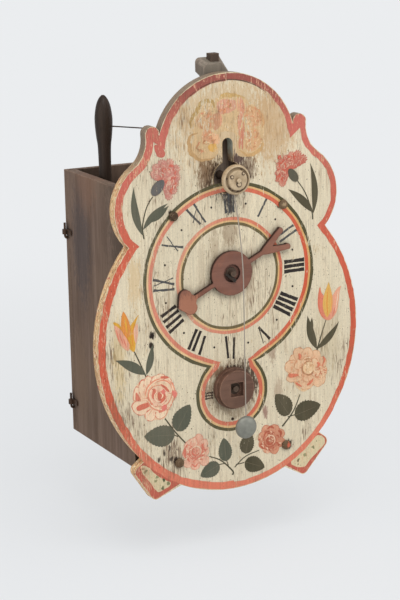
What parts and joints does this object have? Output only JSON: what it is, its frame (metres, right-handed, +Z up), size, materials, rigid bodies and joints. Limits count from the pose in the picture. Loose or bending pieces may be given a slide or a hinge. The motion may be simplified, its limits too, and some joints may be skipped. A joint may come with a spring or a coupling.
{
  "type": "wooden wheel clock",
  "caption": "Wall clock with wooden wheels: painted shield dial, single hour hand, turning quarter disc, short front pendulum and a doored case with going and striking trains.",
  "frame": {"origin": "on the wall face of the back board, in the middle of its width, level with the hour hand's axis", "axes": "+X to the right seen from the front, +Y towards the wall, +Z up"},
  "size_m": [0.2508, 0.1801, 0.3813],
  "materials": {
    "case_wood": "dry, darkened softwood",
    "painted_wood": "worn painted softwood",
    "frame_wood": "bare planed hardwood",
    "wheel_wood": "bare cut hardwood",
    "hand_wood": "red-brown stained wood",
    "dark_wood": "dark turned wood",
    "iron": "forged, dark",
    "bone": "turned bone",
    "pewter": "dull pewter"
  },
  "bodies": {
    "frame": {"back_board": "case_wood", "top_board": "frame_wood", "bottom_board": "case_wood", "front_plate": "frame_wood", "middle_plate": "frame_wood", "rear_plate": "frame_wood", "dial_shield": "painted_wood", "dial_peg_upper_left": "dark_wood", "dial_peg_upper_right": "dark_wood", "dial_peg_lower_left": "dark_wood", "dial_peg_lower_right": "dark_wood", "bell_post": "frame_wood", "bell_peg": "frame_wood", "rear_cock": "frame_wood", "left_hook_upper": "iron", "left_hook_lower": "iron", "right_hook_upper": "iron", "right_hook_lower": "iron", "count_stud": "frame_wood"},
    "left_door": {"left_door": "case_wood", "left_eye_upper": "iron", "left_eye_lower": "iron"},
    "right_door": {"right_door": "case_wood", "right_eye_upper": "iron", "right_eye_lower": "iron"},
    "going_great": {"going_great_arbor": "wheel_wood", "going_great_wheel": "wheel_wood", "going_rope_pulley": "frame_wood", "quarter_disc": "hand_wood"},
    "second": {"second_arbor": "wheel_wood", "second_wheel": "wheel_wood"},
    "third": {"third_arbor": "wheel_wood", "third_wheel": "wheel_wood"},
    "escape": {"escape_arbor": "wheel_wood", "escape_wheel": "wheel_wood"},
    "intermediate": {"intermediate_arbor": "wheel_wood", "intermediate_wheel": "wheel_wood"},
    "hour": {"hour_arbor": "wheel_wood", "hour_wheel": "wheel_wood", "hour_hand": "hand_wood", "hour_hand_wedge": "iron"},
    "pendulum": {"pendulum_arbor": "wheel_wood", "pallet_anchor": "iron", "pendulum_knob": "bone", "pendulum_wire": "iron", "pendulum_bob": "pewter"},
    "strike_great": {"strike_great_arbor": "wheel_wood", "strike_great_wheel": "wheel_wood", "strike_rope_pulley": "frame_wood"},
    "strike_second": {"strike_second_arbor": "wheel_wood", "strike_second_wheel": "wheel_wood"},
    "fly": {"fly_arbor": "wheel_wood", "fly_vane": "wheel_wood"},
    "count": {"count_wheel": "wheel_wood"},
    "hammer": {"hammer_arbor": "dark_wood", "hammer_wire": "iron", "hammer_head": "iron", "hammer_tail": "iron"}
  },
  "joints": [
    {"name": "going_great_turn", "type": "hinge", "parent": "frame", "child": "going_great", "pos_m": [0, -0.07, -0.1022], "axis": [0, 1, 0], "continuous": true},
    {"name": "second_turn", "type": "hinge", "parent": "frame", "child": "second", "pos_m": [-0.008, -0.07, -0.047], "axis": [0, 1, 0], "continuous": true},
    {"name": "third_turn", "type": "hinge", "parent": "frame", "child": "third", "pos_m": [-0.027, -0.07, 0.002], "axis": [0, 1, 0], "continuous": true},
    {"name": "escape_turn", "type": "hinge", "parent": "frame", "child": "escape", "pos_m": [0, -0.07, 0.04057], "axis": [0, 1, 0], "continuous": true},
    {"name": "intermediate_turn", "type": "hinge", "parent": "frame", "child": "intermediate", "pos_m": [0.022, -0.07, -0.051], "axis": [0, 1, 0], "continuous": true},
    {"name": "hour_turn", "type": "hinge", "parent": "frame", "child": "hour", "pos_m": [0, -0.07, 0], "axis": [0, 1, 0], "continuous": true},
    {"name": "strike_great_turn", "type": "hinge", "parent": "frame", "child": "strike_great", "pos_m": [0, -0.07, -0.1022], "axis": [0, 1, 0], "continuous": true},
    {"name": "strike_second_turn", "type": "hinge", "parent": "frame", "child": "strike_second", "pos_m": [0.014, -0.07, -0.0481], "axis": [0, 1, 0], "continuous": true},
    {"name": "fly_turn", "type": "hinge", "parent": "frame", "child": "fly", "pos_m": [0.03, -0.07, -0.003], "axis": [0, 1, 0], "continuous": true},
    {"name": "count_turn", "type": "hinge", "parent": "frame", "child": "count", "pos_m": [0.033, -0.07, -0.0673], "axis": [0, 1, 0], "continuous": true},
    {"name": "pendulum_swing", "type": "hinge", "parent": "frame", "child": "pendulum", "pos_m": [0, -0.15, 0.083], "axis": [0, 1, 0], "range_deg": [-5, 5]},
    {"name": "left_door_hinge", "type": "hinge", "parent": "frame", "child": "left_door", "pos_m": [-0.0917, -0.0035, -0.05], "axis": [0, 0, -1], "range_deg": [0, 90]},
    {"name": "right_door_hinge", "type": "hinge", "parent": "frame", "child": "right_door", "pos_m": [0.0917, -0.0035, -0.05], "axis": [0, 0, 1], "range_deg": [0, 90]},
    {"name": "hammer_swing", "type": "hinge", "parent": "frame", "child": "hammer", "pos_m": [-0.0708, -0.0511, 0], "axis": [0, 0, -1], "range_deg": [0, 15]}
  ],
  "couplings": [
    {"joint": "second_turn", "follows": "going_great_turn", "ratio": -6},
    {"joint": "third_turn", "follows": "going_great_turn", "ratio": 33},
    {"joint": "escape_turn", "follows": "going_great_turn", "ratio": -132},
    {"joint": "intermediate_turn", "follows": "going_great_turn", "ratio": -0.33333},
    {"joint": "hour_turn", "follows": "going_great_turn", "ratio": 0.083333},
    {"joint": "strike_second_turn", "follows": "strike_great_turn", "ratio": -6},
    {"joint": "fly_turn", "follows": "strike_great_turn", "ratio": 30},
    {"joint": "count_turn", "follows": "strike_great_turn", "ratio": -0.15385}
  ]
}
